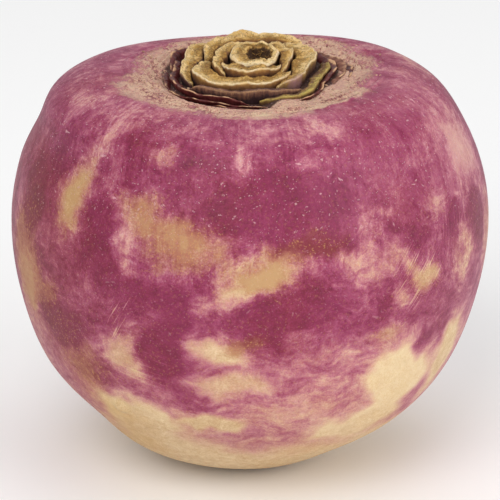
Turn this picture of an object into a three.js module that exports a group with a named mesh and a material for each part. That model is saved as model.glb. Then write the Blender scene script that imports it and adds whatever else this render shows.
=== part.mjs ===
// A purple-top turnip as it is sold: the swollen root, stood on the flat scar of its trimmed
// taproot, with the leaves cut off short at the crown. What is left of the leaves is a rosette of
// fleshy leaf bases round a hollow heart, and the thin dry scales of older leaves outside them.
// Millimetres, +Z up, origin in the middle of the taproot scar. The front is -Y.
import * as THREE from "three";

// ---- The swollen root ----
// Heights up the flank, with the radius there on the +X side and on the -X side.
const FLANK = [
  [0, 10, 10.5],
  [1.2, 13.5, 14],
  [5, 20, 23.5],
  [12, 31.2, 31],
  [22, 39.2, 39.5],
  [36, 43.9, 44],
  [48, 45, 44.8],
  [58, 43.3, 43.1],
  [66, 39.6, 40],
  [72, 35.4, 37.8],
  [75.4, 30.5, 33],
  [76.6, 27.5, 29],
];
const ROOT_SIDES = 72;
const FLANK_STEPS = 26;
const THREE_LOBES = 0.010; // share of the radius that each swell stands out by
const FIVE_LOBES = 0.006;
const DEPTH_TO_WIDTH = 0.98;
const SWELL_TOP = 72; // the lobes and the flattening die out at this height
const SKIN = 0x8f3d5c;

// ---- The crown, where the leaves grew ----
const CROWN_X = 1.0;
const CROWN_Y = -2.0;
const CROWN_TILT = Math.tan(THREE.MathUtils.degToRad(2.7)); // it leans towards the front
const TILT_ENDS = [19, 26]; // distances from its centre between which the lean dies out
const BACK_SAG = 1.8; // how far the shoulder behind it falls away, and in which direction
const BACK_SAG_TOWARDS = 100;
const FRONT_SAG = 0.9;
const CROWN_DRIFT = [58, 76]; // heights between which the root's axis bends to the crown's centre
const SEAT_FLOOR = 72.6;
const SEAT_FLOOR_RADIUS = 16.6;
const FRONT_REACH = 1.9; // the seat is drawn out by this much at the front
const FRONT_REACH_TOWARDS = 258;
const FRONT_REACH_ENDS = [18, 25]; // distances over which the collar evens it out again
// Corky collar, and down the sloping wall of the seat: distance from the crown's centre, height.
const COLLAR = [
  [25.2, 76.7],
  [24.2, 76.8],
  [23.2, 76.8],
  [22.3, 76.75],
  [21.4, 76.65],
  [20.5, 76.5],
  [19.7, 76.3],
  [18.9, 76.0],
  [18.2, 75.6],
  [17.6, 75.1],
  [17.2, 74.5],
  [16.95, 73.8],
  [16.8, 73.2],
  [SEAT_FLOOR_RADIUS, SEAT_FLOOR],
  [SEAT_FLOOR_RADIUS / 2, SEAT_FLOOR],
];
const SCAR_RING_PITCH = 1.5; // old leaf scars ring the collar this far apart
const SCAR_RING_HEIGHT = 0.28;
const SCAR_RING_SWAY = 1.2;
const SCAR_RINGS = [18.6, 26.5];

// ---- The heart ----
const HEART_X = 0.9;
const HEART_Y = 0.3;
const HEART_RADIUS = 4.6;
const HEART_SIDES = 28;
const HEART_SLOPE = 0.13; // its cut top rises towards the back
const HEART_RISE = [75.5, 78.5]; // heights over which it takes up that slope
const HEART_FLESH = 0xb8935a;
const HOLLOW_SHIFT = [0.9, 0.4]; // the hollow sits off centre, so one wall is thicker
// Distance from the heart's centre and height, from the foot up the outside and down the hollow.
const HEART_WALL = [
  [HEART_RADIUS - 0.5, 72.9],
  [HEART_RADIUS - 0.25, 75.5],
  [HEART_RADIUS, 77.6],
  [HEART_RADIUS + 0.1, 78.7],
  [HEART_RADIUS - 0.2, 79.1],
  [HEART_RADIUS - 0.9, 79.1],
  [3.1, 78.6],
  [2.7, 77.6],
  [1.8, 76.6],
];

// ---- Leaf bases and scales ----
const FLESH = 0xc9a56c;
const PINK = 0x885d43;
const GREEN = 0xa9a04c;
const DRY = 0x4d2430;
const TAN = 0xa98068;
// Each wraps round the younger ones inside it, so they are listed from the heart outwards:
// name; the direction it faces, in degrees from +X towards +Y; how far round it reaches; its
// thickness in the middle and at both ends; the crevice on its inner side; the height of the cut,
// how much lower that is at the ends, and how much further it dips just there; how far it lies
// back; its colour.
const LEAVES = [
  ["leaf_base_inner_front", 262, 120, 4.1, 0.9, 0.3, 78.4, 0.3, 0.3, 0, FLESH],
  ["leaf_base_inner_right", 18, 148, 2.2, 0.8, 0.3, 78.9, 0.4, 0.3, 0, FLESH],
  ["leaf_base_inner_left", 158, 150, 2.2, 0.8, 0.3, 78.8, 0.3, 0.3, 0, FLESH],
  ["leaf_base_front", 249, 124, 5.1, 0.9, 0.3, 77.7, -0.5, 0, 0.3, FLESH],
  ["leaf_base_right", 358, 142, 3.8, 0.9, 0.3, 78.3, 0.3, 0.3, 0.3, FLESH],
  ["leaf_base_back", 108, 142, 3.2, 0.9, 0.3, 79.1, 1, 0, 0.3, FLESH],
  ["leaf_base_left", 176, 88, 3.2, 0.8, 0.3, 78.1, 0.4, 0.4, 0.4, FLESH],
  ["leaf_base_ribbed", 266, 80, 1.6, 0.7, 0.3, 77.4, 0.1, 0.5, 0.9, PINK],
  ["leaf_base_green", 322, 98, 1.9, 0.7, 0.3, 77.1, 0.3, 0.6, 1.2, GREEN],
  ["dry_scale_left", 214, 106, 1, 0.6, 0.3, 77, 0.3, 0.8, 1.3, DRY],
  ["dry_scale_right", 347, 118, 0.9, 0.6, 0.3, 76.9, 0.3, 0.7, 1.3, DRY],
  ["dry_scale_back", 120, 128, 0.9, 0.6, 0.4, 77.2, 0.3, 0.6, 1.3, DRY],
  ["dry_scale_rim", 228, 104, 0.8, 0.6, 0.3, 76.1, 0.1, 0.4, 1.9, DRY],
  ["dry_scale_tan", 4, 78, 1.1, 0.6, 0.4, 76.6, 0.3, 0.6, 1.7, TAN],
  ["dry_scale_outer", 104, 86, 1.3, 0.6, 0.5, 76.7, 0.3, 0.5, 1.3, TAN],
  ["dry_scale_side", 2, 66, 0.8, 0.6, 0.3, 76.2, 0.3, 0.6, 2, DRY],
  ["dry_scale_front", 259, 44, 0.9, 0.6, 0.3, 75.8, 0.2, 0.4, 2.3, DRY],
].map(([name, middle, span, thick, edge, gap, top, drop, dip, recline, colour]) => (
  { name, middle, span, thick, edge, gap, top, drop, dip, recline, colour }
));
const DIP_RISE = [0.7, 1]; // shares of the way from the middle to an end over which it dips
const RECLINE_RISE = [73.2, 77]; // heights over which a leaf lies back
const LEAF_FOOT = SEAT_FLOOR + 0.3;
const LEAF_STEPS = 18;
const CUT_WAVE = 0.22; // the cuts are uneven by this much either way
const CUT_SLOPE = 0.13; // they fall outwards, per millimetre, so that the crown is a low dome
const LEAF_LEAN = 0.12; // outward lean, per millimetre of height
const LEAN_FROM = 77; // the height at which the stacked radii hold
const FADE = 18; // degrees past its end over which a leaf lets the next one settle inwards
const CRESCENT = 0.8; // how fully a leaf keeps its thickness towards its ends

// ---- Small helpers ----
const radians = THREE.MathUtils.degToRad;
const smooth = THREE.MathUtils.smoothstep;

// How far direction a is from direction b, in degrees, from 0 to 180.
function apart(a, b) {
  return Math.abs(THREE.MathUtils.euclideanModulo(a - b + 180, 360) - 180);
}

// A closed solid through rings of points, all with the same count, its two ends closed by a fan.
function loft(rings) {
  const count = rings[0].length;
  const middles = [rings[0], rings.at(-1)].map((ring) =>
    ring.reduce((sum, p) => sum.add(p), new THREE.Vector3()).divideScalar(count),
  );
  const points = [...rings.flat(), ...middles];
  const index = [];
  const last = (rings.length - 1) * count;
  for (let k = 0; k < count; k++) {
    const next = (k + 1) % count;
    for (let i = 0; i < last; i += count) {
      index.push(i + k, i + next, i + count + next);
      index.push(i + k, i + count + next, i + count + k);
    }
    index.push(points.length - 2, next, k);
    index.push(points.length - 1, last + k, last + next);
  }
  const geometry = new THREE.BufferGeometry().setFromPoints(points);
  geometry.setIndex(index);
  geometry.computeVertexNormals();
  return geometry;
}

// The crown leans, so everything in it rises towards the back.
function leanCrown(point) {
  point.z += (point.y - CROWN_Y) * CROWN_TILT;
  return point;
}

function mesh(name, geometry, colour, roughness) {
  const material = new THREE.MeshStandardMaterial({ color: colour, roughness, metalness: 0 });
  const made = new THREE.Mesh(geometry, material);
  made.name = name;
  return made;
}

// ---- Root ----
// How far the root's top stands above or below its profile: it leans with the crown near the
// seat, and sags behind and in front of it.
function crownLift(distance, angle) {
  const lean = distance * Math.sin(angle) * CROWN_TILT;
  const back = Math.max(0, Math.cos(angle - radians(BACK_SAG_TOWARDS)));
  const front = Math.max(0, -Math.sin(angle));
  const sag = -BACK_SAG * back ** 3 - FRONT_SAG * front ** 2;
  return THREE.MathUtils.lerp(lean, sag, smooth(distance, ...TILT_ENDS));
}

// Loop of the flank at a share t of the way up it.
function flankLoop(curve, t) {
  const { x: rightRadius, y: leftRadius, z: height } = curve.getPoint(t);
  const drift = smooth(height, ...CROWN_DRIFT);
  const swell = Math.sin(Math.PI * Math.min(1, height / SWELL_TOP));
  const loop = [];
  for (let k = 0; k < ROOT_SIDES; k++) {
    const angle = (2 * Math.PI * k) / ROOT_SIDES;
    const side = (1 + Math.cos(angle)) / 2;
    const lobes = THREE_LOBES * Math.sin(3 * angle) + FIVE_LOBES * Math.sin(5 * angle);
    const radius = (rightRadius * side + leftRadius * (1 - side)) * (1 + lobes * swell);
    const point = new THREE.Vector3(
      CROWN_X * drift + radius * Math.cos(angle),
      CROWN_Y * drift + radius * Math.sin(angle) * THREE.MathUtils.lerp(1, DEPTH_TO_WIDTH, swell),
      height,
    );
    point.z += crownLift(radius, angle) * drift;
    loop.push(point);
  }
  return loop;
}

// Low broken rings that old leaf scars leave in the cork.
function scarRing(distance, angle) {
  const [inner, outer] = SCAR_RINGS;
  const inRange = smooth(distance, inner, inner + 1) * (1 - smooth(distance, outer - 2, outer));
  const phase = (2 * Math.PI * distance) / SCAR_RING_PITCH + SCAR_RING_SWAY * Math.sin(3 * angle);
  const broken = 0.6 + 0.4 * Math.sin(5 * angle + distance);
  return SCAR_RING_HEIGHT * inRange * broken * Math.cos(phase);
}

// How much further the seat and the collar's inner part reach at the front.
function frontReach(distance, angle) {
  const front = Math.max(0, Math.cos(angle - radians(FRONT_REACH_TOWARDS)));
  return FRONT_REACH * front ** 4 * (1 - smooth(distance, ...FRONT_REACH_ENDS));
}

function collarLoop([station, height]) {
  const loop = [];
  for (let k = 0; k < ROOT_SIDES; k++) {
    const angle = (2 * Math.PI * k) / ROOT_SIDES;
    const distance = station + frontReach(station, angle);
    const point = new THREE.Vector3(
      CROWN_X + distance * Math.cos(angle),
      CROWN_Y + distance * Math.sin(angle),
      height + scarRing(distance, angle) + crownLift(distance, angle),
    );
    loop.push(point);
  }
  return loop;
}

function makeRoot() {
  const curve = new THREE.CatmullRomCurve3(
    FLANK.map(([height, right, left]) => new THREE.Vector3(right, left, height)),
  );
  const loops = [];
  for (let i = 0; i <= FLANK_STEPS; i++) loops.push(flankLoop(curve, i / FLANK_STEPS));
  for (const station of COLLAR) loops.push(collarLoop(station));
  return mesh("root", loft(loops), SKIN, 0.55);
}

// ---- Heart ----
function makeHeart() {
  const loops = HEART_WALL.map(([distance, height]) => {
    const hollow = 1 - smooth(distance, 3.1, HEART_RADIUS - 0.9);
    const rise = smooth(height, ...HEART_RISE);
    const loop = [];
    for (let k = 0; k < HEART_SIDES; k++) {
      const angle = (2 * Math.PI * k) / HEART_SIDES;
      const x = distance * Math.cos(angle) + HOLLOW_SHIFT[0] * hollow;
      const y = distance * Math.sin(angle) + HOLLOW_SHIFT[1] * hollow;
      loop.push(leanCrown(new THREE.Vector3(HEART_X + x, HEART_Y + y, height + HEART_SLOPE * y * rise)));
    }
    return loop;
  });
  return mesh("crown_heart", loft(loops), HEART_FLESH, 0.8);
}

// ---- Leaf bases and scales ----
function thickness(leaf, away) {
  const s = Math.min(1, away / (leaf.span / 2));
  return leaf.edge + (leaf.thick - leaf.edge) * (1 - s * s) ** CRESCENT;
}

// The radius that a leaf takes up in one direction, fading away past its ends.
function room(leaf, direction) {
  const away = apart(direction, leaf.middle);
  const past = Math.max(0, away - leaf.span / 2) / FADE;
  return (thickness(leaf, away) + leaf.gap) * (1 - smooth(past, 0, 1));
}

// Where a leaf's inner face lies: outside the heart and every younger leaf.
function innerRadius(index, direction) {
  const younger = LEAVES.slice(0, index);
  return younger.reduce((sum, leaf) => sum + room(leaf, direction), HEART_RADIUS) + LEAVES[index].gap;
}

// The section across a leaf base, from the foot up its inner face, over the dished cut and down
// its outer face: shares of its thickness, and heights up from the cut's outer rim.
function leafSection(thick, tall) {
  const rim = Math.min(0.25, thick * 0.2);
  const rise = CUT_SLOPE * thick;
  return [
    [0.12, -tall],
    [0, -0.55 * tall],
    [0, rise - 0.35],
    [rim / thick, rise],
    [0.5, rise / 2 - 0.09 * thick],
    [1 - rim / thick, 0],
    [1, -0.35],
    [1, -0.55 * tall],
    [0.88, -tall],
  ];
}

function makeLeaf(leaf, index) {
  const rings = [];
  for (let i = 0; i <= LEAF_STEPS; i++) {
    const s = (2 * i) / LEAF_STEPS - 1;
    const direction = leaf.middle + (s * leaf.span) / 2;
    const angle = radians(direction);
    const thick = thickness(leaf, Math.abs(s) * (leaf.span / 2));
    const inner = innerRadius(index, direction);
    const dip = leaf.dip * smooth(Math.abs(s), ...DIP_RISE);
    const cut = leaf.top - leaf.drop * s * s - dip + CUT_WAVE * Math.sin(8 * angle + index);
    rings.push(
      leafSection(thick, cut - LEAF_FOOT).map(([share, up]) => {
        const height = cut + up;
        const back = LEAF_LEAN * (height - LEAN_FROM) + leaf.recline * smooth(height, ...RECLINE_RISE);
        const radius = inner + share * thick + back;
        const x = HEART_X + radius * Math.cos(angle);
        const y = HEART_Y + radius * Math.sin(angle);
        return leanCrown(new THREE.Vector3(x, y, height));
      }),
    );
  }
  return mesh(leaf.name, loft(rings), leaf.colour, 0.8);
}

const turnip = new THREE.Group();
turnip.add(makeRoot(), makeHeart(), ...LEAVES.map(makeLeaf));

export default turnip;
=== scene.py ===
"""Looks of a purple-top turnip, cut off short at the crown, built round its CAD solids."""

import math

import bpy
import numpy as np
from mathutils import Matrix, Vector, noise


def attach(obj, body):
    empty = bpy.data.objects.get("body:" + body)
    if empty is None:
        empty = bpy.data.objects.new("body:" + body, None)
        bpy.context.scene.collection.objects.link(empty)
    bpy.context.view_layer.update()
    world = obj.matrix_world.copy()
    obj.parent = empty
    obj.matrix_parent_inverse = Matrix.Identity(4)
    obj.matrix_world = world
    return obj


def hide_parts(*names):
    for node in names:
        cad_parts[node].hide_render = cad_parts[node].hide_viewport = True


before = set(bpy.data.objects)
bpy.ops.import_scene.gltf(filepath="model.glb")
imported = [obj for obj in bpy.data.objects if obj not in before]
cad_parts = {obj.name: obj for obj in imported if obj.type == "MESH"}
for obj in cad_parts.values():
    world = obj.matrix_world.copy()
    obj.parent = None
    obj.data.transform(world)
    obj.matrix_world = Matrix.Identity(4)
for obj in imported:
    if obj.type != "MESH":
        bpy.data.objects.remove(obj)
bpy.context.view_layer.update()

MM = 0.001

# ---- Sizes, in millimetres, as the solids have them ----
# Heights up the root's flank, with its radius there on the +X side and on the -X side.
FLANK = [
    (0, 10, 10.5), (1.2, 13.5, 14), (5, 20, 23.5), (12, 31.2, 31),
    (22, 39.2, 39.5), (36, 43.9, 44), (48, 45, 44.8), (58, 43.3, 43.1),
    (66, 39.6, 40), (72, 35.4, 37.8), (75.4, 30.5, 33), (76.6, 27.5, 29),
]
THREE_LOBES = 0.010
FIVE_LOBES = 0.006
DEPTH_TO_WIDTH = 0.98
CROWN = np.array([1.0, -2.0])
CROWN_TILT = math.tan(math.radians(2.7))
TILT_ENDS = (19, 26)
BACK_SAG = 1.8
BACK_SAG_TOWARDS = math.radians(100)
FRONT_SAG = 0.9
CROWN_DRIFT = (58, 76)
SEAT_FLOOR = 72.6
SEAT_FLOOR_RADIUS = 16.6
FRONT_REACH = 1.9
FRONT_REACH_TOWARDS = math.radians(258)
COLLAR = [
    (25.2, 76.7), (24.2, 76.8), (23.2, 76.8), (22.3, 76.75), (21.4, 76.65),
    (20.5, 76.5), (19.7, 76.3), (18.9, 76.0), (18.2, 75.6), (17.6, 75.1),
    (17.2, 74.5), (16.95, 73.8), (16.8, 73.2),
    (SEAT_FLOOR_RADIUS, SEAT_FLOOR), (SEAT_FLOOR_RADIUS / 2, SEAT_FLOOR),
]
HEART = np.array([0.9, 0.3])
HEART_RADIUS = 4.6
HOLLOW_SHIFT = (0.9, 0.4)
LEAF_FOOT = SEAT_FLOOR + 0.3
CUT_WAVE = 0.22
CUT_SLOPE = 0.13
LEAF_LEAN = 0.12
LEAN_FROM = 77
RECLINE_RISE = (73.2, 77)
DIP_RISE = (0.7, 1)
FADE = 18
CRESCENT = 0.8
SPREAD_OUT = 0.18  # how much thicker than its solid each leaf is, to narrow the crevices
UNDERCUT = 0.12  # the share of its thickness that a leaf loses on each face down at its foot
CORK_REACH_TOWARDS = math.radians(237)
CORK_FILL = 75.5  # cork fills the seat up to about here, between the scales

# ---- Leaf bases and scales, from the heart outwards ----
# name: direction it faces (degrees from +X towards +Y), how far round it reaches, thickness in
# the middle and at its ends, crevice inside it, height of the cut, drop to its ends, dip just
# there, and how far it lies back
LEAVES = {
    "leaf_base_inner_front": (262, 120, 4.1, 0.9, 0.3, 78.4, 0.3, 0.3, 0),
    "leaf_base_inner_right": (18, 148, 2.2, 0.8, 0.3, 78.9, 0.4, 0.3, 0),
    "leaf_base_inner_left": (158, 150, 2.2, 0.8, 0.3, 78.8, 0.3, 0.3, 0),
    "leaf_base_front": (249, 124, 5.1, 0.9, 0.3, 77.7, -0.5, 0, 0.3),
    "leaf_base_right": (358, 142, 3.8, 0.9, 0.3, 78.3, 0.3, 0.3, 0.3),
    "leaf_base_back": (108, 142, 3.2, 0.9, 0.3, 79.1, 1, 0, 0.3),
    "leaf_base_left": (176, 88, 3.2, 0.8, 0.3, 78.1, 0.4, 0.4, 0.4),
    "leaf_base_ribbed": (266, 80, 1.6, 0.7, 0.3, 77.4, 0.1, 0.5, 0.9),
    "leaf_base_green": (322, 98, 1.9, 0.7, 0.3, 77.1, 0.3, 0.6, 1.2),
    "dry_scale_left": (214, 106, 1, 0.6, 0.3, 77, 0.3, 0.8, 1.3),
    "dry_scale_right": (347, 118, 0.9, 0.6, 0.3, 76.9, 0.3, 0.7, 1.3),
    "dry_scale_back": (120, 128, 0.9, 0.6, 0.4, 77.2, 0.3, 0.6, 1.3),
    "dry_scale_rim": (228, 104, 0.8, 0.6, 0.3, 76.1, 0.1, 0.4, 1.9),
    "dry_scale_tan": (4, 78, 1.1, 0.6, 0.4, 76.6, 0.3, 0.6, 1.7),
    "dry_scale_outer": (104, 86, 1.3, 0.6, 0.5, 76.7, 0.3, 0.5, 1.3),
    "dry_scale_side": (2, 66, 0.8, 0.6, 0.3, 76.2, 0.3, 0.6, 2),
    "dry_scale_front": (259, 44, 0.9, 0.6, 0.3, 75.8, 0.2, 0.4, 2.3),
}

# ---- Markings on the skin ----
# Where each sits (degrees round from the front, right is positive; height), how far it reaches
# sideways and upwards, how far it is turned, and what it adds to the purple and to the russet.
MARKS = [
    # The big ochre oval at the left, its tail and a wisp above it.
    (-49, 60.5, 3.9, 6.4, -14, -0.86, 0.75), (-44, 69, 2.4, 5, -30, -0.3, 0.12),
    (-41, 73, 3.2, 4, -20, -0.26, 0),
    # The ochre patch right of it, and the band that runs on from there.
    (-26.5, 60.8, 4, 3.6, 0, -0.71, 0.85), (-19, 57.5, 5.5, 3, 14, -0.44, 0.74),
    (-12, 57, 4.5, 3.6, 0, -0.38, 0.45), (-18, 53.5, 5, 2.2, 0, -0.28, 0.6),
    # The tan patch in the middle.
    (5.6, 52.4, 4.8, 4.8, -20, -0.7, 0.8), (-1.5, 50.2, 5, 2.6, 10, -0.4, 0.4),
    (-6, 54, 3.2, 3, 0, -0.42, 0.4),
    # A rust fleck, a pale spot and a pale streak.
    (14.5, 56, 6.5, 2, 0, 0.34, 0.75), (-23.3, 70.6, 2, 2.6, 0, -0.4, 0.25),
    (-2.2, 70.2, 1.4, 4, 0, -0.22, 0),
    # Rubbed places below the collar.
    (3.5, 73.6, 6.5, 1.4, 4, 0.04, 0), (17, 74, 8.5, 1.8, 0, -0.22, 0.04),
    (-27, 74.8, 7, 1.6, 0, -0.06, 0.06), (-66, 75.2, 6, 2.5, 0, -0.06, 0.04),
    (102, 74.5, 10, 3, 0, -0.22, 0.06),
    # Lilac and pink places on the right; the three broad ones, high up and at the right edge, lighten
    # the purple as a painted sheen.
    (60, 66, 9, 9, 0, -0.22, 0), (40, 68, 9, 6, 0, -0.14, 0), (74, 64, 7, 12, 0, -0.44, 0.04),
    (33, 60.6, 3.6, 1.7, 0, -0.38, 0.1), (30, 56, 2.6, 3.2, 0, -0.34, 0.12),
    (33, 50.5, 7, 2.6, 4, -0.42, 0.2), (50, 58.5, 4, 2.8, 0, -0.32, 0.2),
    (24.5, 53.6, 3, 1.8, 0, -0.45, 0.25),
    # The scratched cream place, and cream, pink and ochre round it.
    (45, 46.5, 4.8, 2.2, -24, -0.74, 0.55), (37.5, 43.4, 2.4, 2.2, 0, -0.55, 0.18),
    (62, 47, 4, 6.5, 0, -0.38, 0.15), (84, 46, 5, 9, 0, -0.5, 0.3),
    # Deep purple on the upper half.
    (58, 55, 2.6, 6.5, 0, 0.3, 0), (72, 53.3, 4.4, 5.4, 0, 0.78, 0.08),
    (42, 54.6, 5, 2.2, 0, 0.22, 0), (8, 63, 12, 5.5, 0, 0.48, 0), (-57, 65, 4, 5, 0, 0.2, 0),
    (-37.5, 53.6, 4.6, 6.4, 10, 0.5, 0),
    # Lilac wisps, and deep purple lower down.
    (-31, 54.4, 2.9, 5, 14, -0.56, 0), (-28, 46, 5, 4, 0, 0.2, 0), (-24, 47.6, 3.6, 2, 0, 0.1, 0),
    (-17.5, 43.5, 3.2, 4.6, 0, 0.34, 0), (10.5, 44.2, 8.6, 3.6, 0, 0.48, 0),
    (3.2, 38, 3.2, 4, 0, 0.34, 0), (-22, 33.5, 3.8, 6.5, -8, 0.46, 0),
    (-16.5, 26, 3.2, 3.2, 0, 0.3, 0),
    # Maroon, then olive russet, at the left edge; the maroon ones darken the left side, partly as
    # painted shade.
    (-50, 35.5, 6.5, 3.2, 6, 0.52, 0.12), (-38, 29, 3.4, 3.8, 30, 0.3, 0.14),
    (-68, 55, 5, 9, 0, 0.6, 0.06), (-56, 32, 7, 8, 0, 0.22, 0.15),
    (-70, 43.5, 6.4, 10, 0, -0.66, 0.95), (-60, 40.5, 5, 4, 0, -0.1, 0.95),
    (-46, 27.5, 5, 5, -30, -0.12, 0.7),
    # Rubbed and rusty places down the front.
    (-5, 46.5, 6, 2.8, 10, -0.54, 0.16), (-7, 36, 7, 2.8, 0, -0.72, 0.22),
    (16, 35.5, 8, 3, 0, -0.12, 0.05), (-1.5, 37.5, 3.2, 1.5, 10, 0.1, 0.85),
    (-5, 29.5, 7.5, 2.8, 0, -0.46, 0.26), (-9.6, 20, 4.6, 2.6, 0, -0.72, 0.38),
    # Where the purple fades into the cream foot.
    (12, 23.5, 10, 2.6, 0, -0.18, 0.05), (-31, 34.5, 3.6, 5.5, 0, -0.53, 0.28),
    (-33, 18.5, 9, 5.6, 0, -1, 0.14), (41.5, 27, 7.2, 7.8, -22, -1.15, 0),
    (33, 17, 8.5, 4.2, 0, -0.85, 0.12), (36, 36.6, 4.4, 1.6, 0, -0.5, 0.42),
    (48, 32.3, 2.8, 3.8, 0, 0.7, 0), (62, 27, 4.6, 8.5, 0, -0.75, 0.28),
    (57, 35.5, 2.8, 3.2, 0, 0.14, 0),
    # The sides and the back go on in the same way.
    (138, 58, 4, 6.5, 10, -0.71, 0.7), (165, 50, 7, 5, 0, -0.75, 0.6),
    (-150, 28, 8, 6, 0, -0.85, 0.2), (120, 24, 9, 5, 0, -0.85, 0.25),
    (-170, 40, 9, 3.5, 0, -0.4, 0.1), (-125, 55, 6, 4, 10, -0.45, 0.25),
    (-145, 47, 7, 5, 0, 0.3, 0), (105, 56, 6, 8, 0, 0.25, 0), (-105, 36, 5, 6, 0, -0.45, 0.6),
    (178, 66, 3, 5, 20, -0.45, 0.15),
]
# Strokes that lift the colour off: angle, height, half width, half height, the way they run,
# how long and how wide one is, how sharp it is and how much it lifts.
STROKES = {
    "scratches_right": (43.5, 47.5, 6, 5.5, 48, 9, 0.34, 0.08, 0.85),
    "scratches_left": (-34, 41.5, 3.8, 3.8, 58, 8, 0.4, 0.06, 0.6),
    "scratches_high": (-3.5, 72.5, 3, 1.8, 32, 4, 0.5, 0.06, 0.5),
    "scratches_low": (36, 35.5, 2.4, 1.8, -38, 5, 0.45, 0.05, 0.4),
    "strokes_low_left": (-46, 27.5, 9, 7, -48, 7, 0.9, 0.16, 0.3),
    "strokes_left": (-30, 31, 7, 4, -12, 9, 0.6, 0.16, 0.4),
    "strokes_right_edge": (60, 52, 6, 9, 80, 9, 0.6, 0.12, 0.35),
}
# The side root that once grew at the lower left left a pale bump in a yellowish ring.
SIDE_ROOT_SCAR = (-38.2, 20.4)


# ---- Arithmetic on arrays ----
def smooth(x, low, high):
    t = np.clip((np.asarray(x, float) - low) / (high - low), 0, 1)
    return t * t * (3 - 2 * t)


def wrapped(degrees):
    return (np.asarray(degrees, float) + 180) % 360 - 180


def ripple(x, seed, low, high, count=9):
    """A wandering line through 0, about 1 high, from waves of low to high cycles per unit."""
    rng = np.random.default_rng(seed)
    total = np.zeros_like(np.asarray(x, float))
    for frequency in rng.uniform(low, high, count):
        total += np.sin(2 * math.pi * (frequency * x + rng.random()))
    return total / math.sqrt(count)


def ripple_round(angle, seed, low, high, count=9):
    """The same round a circle, from whole numbers of waves, so that it meets itself."""
    rng = np.random.default_rng(seed)
    total = np.zeros_like(np.asarray(angle, float))
    for waves in rng.integers(low, high + 1, count):
        total += np.sin(waves * angle + rng.uniform(0, 2 * math.pi))
    return total / math.sqrt(count)


def drifts(points, size, seed):
    """Smooth random shifts of points, up to about 1 either way, that change over about size."""
    noise.seed_set(seed)
    places = points.reshape(-1, 3) / size
    made = [noise.noise_vector(Vector(place)) for place in places.tolist()]
    return np.array([tuple(shift) for shift in made]).reshape(points.shape)


def curve_through(points, shares):
    """Points on the centripetal Catmull-Rom curve through points, at shares of its way."""
    p = np.asarray(points, float)
    p = np.vstack([2 * p[0] - p[1], p, 2 * p[-1] - p[-2]])
    knot = np.maximum(np.linalg.norm(np.diff(p, axis=0), axis=1) ** 0.5, 1e-4)
    place = np.clip(np.asarray(shares, float), 0, 1) * (len(p) - 3)
    i = np.minimum(place.astype(int), len(p) - 4)
    w = (place - i)[:, None]
    a, b, c, d = p[i], p[i + 1], p[i + 2], p[i + 3]
    k0, k1, k2 = knot[i][:, None], knot[i + 1][:, None], knot[i + 2][:, None]
    start = ((b - a) / k0 - (c - a) / (k0 + k1) + (c - b) / k1) * k1
    end = ((c - b) / k1 - (d - b) / (k1 + k2) + (d - c) / k2) * k1
    bend = -3 * b + 3 * c - 2 * start - end
    return b + start * w + bend * w**2 + (2 * b - 2 * c + start + end) * w**3


def even_curve(points, count):
    """About equally spaced points on the curve through points, as one column per coordinate."""
    fine = np.linspace(0, 1, 1500)
    path = curve_through(points, fine)
    walked = np.concatenate([[0], np.cumsum(np.linalg.norm(np.diff(path, axis=0), axis=1))])
    shares = np.interp(np.linspace(0, walked[-1], count), walked, fine)
    return (column[:, None] for column in curve_through(points, shares).T)


# ---- Meshes ----
def placed(name, data):
    """A new object in the scene."""
    made = bpy.data.objects.new(name, data)
    bpy.context.scene.collection.objects.link(made)
    return made


def loft_mesh(name, rings, attributes):
    """A closed mesh through rings of points (ring, point, xyz) in millimetres."""
    ring_count, side_count, _ = rings.shape
    middles = rings[[0, -1]].mean(axis=1)
    points = np.vstack([rings.reshape(-1, 3), middles]) * MM
    ring, side = np.meshgrid(np.arange(ring_count - 1), np.arange(side_count), indexing="ij")
    after = (side + 1) % side_count
    low, high = ring * side_count, (ring + 1) * side_count
    quads = np.stack([low + side, low + after, high + after, high + side], -1).reshape(-1, 4)
    k = np.arange(side_count)
    after = (k + 1) % side_count
    last = (ring_count - 1) * side_count
    foot, head = np.full(side_count, len(points) - 2), np.full(side_count, len(points) - 1)
    fans = np.vstack([np.stack([foot, after, k], -1), np.stack([head, last + k, last + after], -1)])
    mesh = bpy.data.meshes.new(name)
    mesh.from_pydata(points.tolist(), [], quads.tolist() + fans.tolist())
    mesh.polygons.foreach_set("use_smooth", np.ones(len(mesh.polygons), bool))
    for key, values in attributes.items():
        flat = np.broadcast_to(values, (ring_count, side_count))
        ends = flat[[0, -1]].mean(axis=1)
        layer = mesh.attributes.new(key, "FLOAT", "POINT")
        layer.data.foreach_set("value", np.append(flat.ravel(), ends).astype(np.float32))
    return placed(name, mesh)


# ---- Node trees, written as expressions ----
def arithmetic(operation, swapped=False):
    """A method of Wire that adds one Math node, or a Vector Math node for vectors."""

    def method(self, other):
        terms = (other, self) if swapped else (self, other)
        vector = any(isinstance(x, Wire) and x.socket.type == "VECTOR" for x in terms)
        kind = "ShaderNodeVectorMath" if vector else "ShaderNodeMath"
        return self.tree.node(kind, {"operation": operation}, dict(enumerate(terms)))

    return method


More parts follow.
